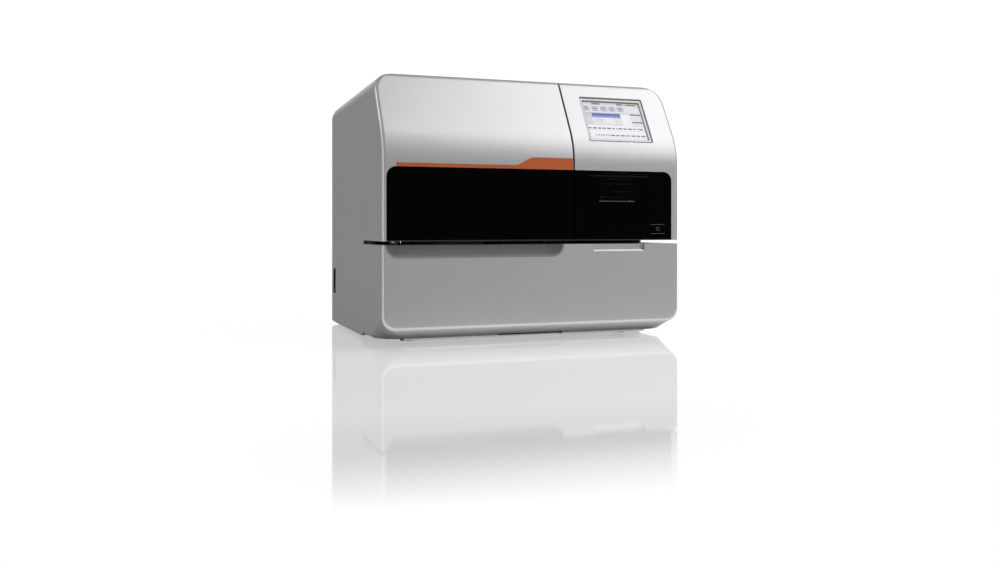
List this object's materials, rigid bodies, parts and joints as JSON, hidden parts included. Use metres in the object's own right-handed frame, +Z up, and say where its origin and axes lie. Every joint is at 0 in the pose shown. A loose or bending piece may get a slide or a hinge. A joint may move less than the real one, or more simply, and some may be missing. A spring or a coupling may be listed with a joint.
{
  "type": "coagulation analyzer",
  "caption": "Bench-top coagulation analyzer: lifting light-shield lid with smoked window over a probe gantry, slanted touch screen, printer door.",
  "frame": {"origin": "middle of the footprint, on the bench", "axes": "+X to the right seen from the front, +Y to the back, +Z up; the lid, window and screen face -Y"},
  "size_m": [0.587, 0.49, 0.49],
  "materials": {
    "silver": "metallic silver paint, satin",
    "black_gloss": "gloss black",
    "smoked_window": "dark smoked acrylic, gloss",
    "orange": "satin orange",
    "pale_bezel": "satin pale grey",
    "screen": "lit touch screen",
    "sheet_steel": "plated sheet",
    "bright_metal": "satin",
    "rubber": "matt black",
    "dark_plastic": "satin dark grey",
    "white_plastic": "satin white",
    "clear": "clear, filled",
    "paper": "thermal paper roll",
    "circuit_board": "green circuit board"
  },
  "bodies": {
    "case": {"display_housing": "silver", "lower_front_cover": "silver", "left_side_cover": "silver", "right_side_cover": "silver", "top_cover": "silver", "rear_panel": "silver", "right_fascia": "black_gloss", "screen_bezel": "pale_bezel", "touch_screen": "screen", "hinge_beam": "sheet_steel", "display_module": "sheet_steel", "chassis_base": "sheet_steel", "centre_wall": "sheet_steel", "bay_rear_wall": "sheet_steel", "printer_frame": "sheet_steel", "power_supply": "sheet_steel", "lid_hinge_rod": "bright_metal", "printer_door_rod": "bright_metal", "work_deck": "bright_metal", "x_rail": "bright_metal", "reagent_block": "bright_metal", "fan_guard": "bright_metal", "hose_nipples": "bright_metal", "rubber_foot_1": "rubber", "rubber_foot_2": "rubber", "rubber_foot_3": "rubber", "rubber_foot_4": "rubber", "drive_belt": "rubber", "x_motor": "dark_plastic", "detector_block": "dark_plastic", "fan_frame": "dark_plastic", "power_inlet": "dark_plastic", "switch_bezel": "dark_plastic", "air_pump": "dark_plastic", "cuvette_rack": "white_plastic", "cuvette_strip_1": "white_plastic", "cuvette_strip_2": "white_plastic", "reagent_vial_1": "clear", "reagent_vial_2": "clear", "control_board": "circuit_board"},
    "lid": {"light_shield_lid": "silver", "lid_window": "smoked_window", "accent_stripe": "orange"},
    "printer_door": {"printer_door": "black_gloss"},
    "start_button": {"start_button": "black_gloss"},
    "mains_rocker": {"mains_rocker": "dark_plastic"},
    "x_carriage": {"x_carriage": "dark_plastic"},
    "y_carriage": {"y_carriage": "sheet_steel"},
    "probe": {"probe_holder": "white_plastic", "probe_needle": "bright_metal"},
    "tube_catcher": {"tube_catcher": "dark_plastic"},
    "sample_rack": {"sample_rack": "dark_plastic", "sample_tube_1": "clear", "sample_tube_2": "clear", "sample_tube_3": "clear"},
    "fan_rotor": {"fan_rotor": "dark_plastic"},
    "paper_roll": {"paper_roll": "paper"},
    "platen_roller": {"platen_roller": "rubber"},
    "drive_pulley": {"drive_pulley": "bright_metal"},
    "idler_pulley": {"idler_pulley": "bright_metal"}
  },
  "joints": [
    {"name": "lid_hinge", "type": "hinge", "parent": "case", "child": "lid", "pos_m": [-0.1, -0.1, 0.48272], "axis": [-1, 0, 0], "range_deg": [0, 75]},
    {"name": "printer_door_hinge", "type": "hinge", "parent": "case", "child": "printer_door", "pos_m": [0.1645, -0.2384, 0.3042], "axis": [-1, 0, 0], "range_deg": [0, 80]},
    {"name": "start_button_press", "type": "slide", "parent": "case", "child": "start_button", "axis": [0, 1, 0], "range_m": [0, 0.002], "stiffness_N_per_m": 500},
    {"name": "mains_rocker_tip", "type": "hinge", "parent": "case", "child": "mains_rocker", "pos_m": [-0.2847, 0.194, 0.095], "axis": [0, -1, 0], "range_deg": [0, 11.4]},
    {"name": "x_slide", "type": "slide", "parent": "case", "child": "x_carriage", "axis": [-1, 0, 0], "range_m": [0, 0.19]},
    {"name": "y_slide", "type": "slide", "parent": "x_carriage", "child": "y_carriage", "axis": [0, -1, 0], "range_m": [0, 0.15]},
    {"name": "probe_lift", "type": "slide", "parent": "y_carriage", "child": "probe", "axis": [0, 0, -1], "range_m": [0, 0.1]},
    {"name": "catcher_lift", "type": "slide", "parent": "y_carriage", "child": "tube_catcher", "axis": [0, 0, -1], "range_m": [0, 0.05]},
    {"name": "rack_lift", "type": "slide", "parent": "case", "child": "sample_rack", "axis": [0, 0, 1], "range_m": [0, 0.06]},
    {"name": "fan_spin", "type": "hinge", "parent": "case", "child": "fan_rotor", "pos_m": [0.17, 0.218, 0.33], "axis": [0, 1, 0], "continuous": true},
    {"name": "paper_roll_spin", "type": "hinge", "parent": "case", "child": "paper_roll", "pos_m": [0.161, -0.188, 0.222], "axis": [1, 0, 0], "continuous": true},
    {"name": "platen_spin", "type": "hinge", "parent": "case", "child": "platen_roller", "pos_m": [0.161, -0.228, 0.262], "axis": [1, 0, 0], "continuous": true},
    {"name": "drive_pulley_spin", "type": "hinge", "parent": "case", "child": "drive_pulley", "pos_m": [0.045, 0.1373, 0.44], "axis": [0, 1, 0], "continuous": true},
    {"name": "idler_pulley_spin", "type": "hinge", "parent": "case", "child": "idler_pulley", "pos_m": [-0.248, 0.1373, 0.44], "axis": [0, 1, 0], "continuous": true}
  ],
  "couplings": [
    {"joint": "platen_spin", "follows": "paper_roll_spin", "ratio": 4.8},
    {"joint": "drive_pulley_spin", "follows": "x_slide", "rad_per_m": 125},
    {"joint": "idler_pulley_spin", "follows": "x_slide", "rad_per_m": 125}
  ]
}
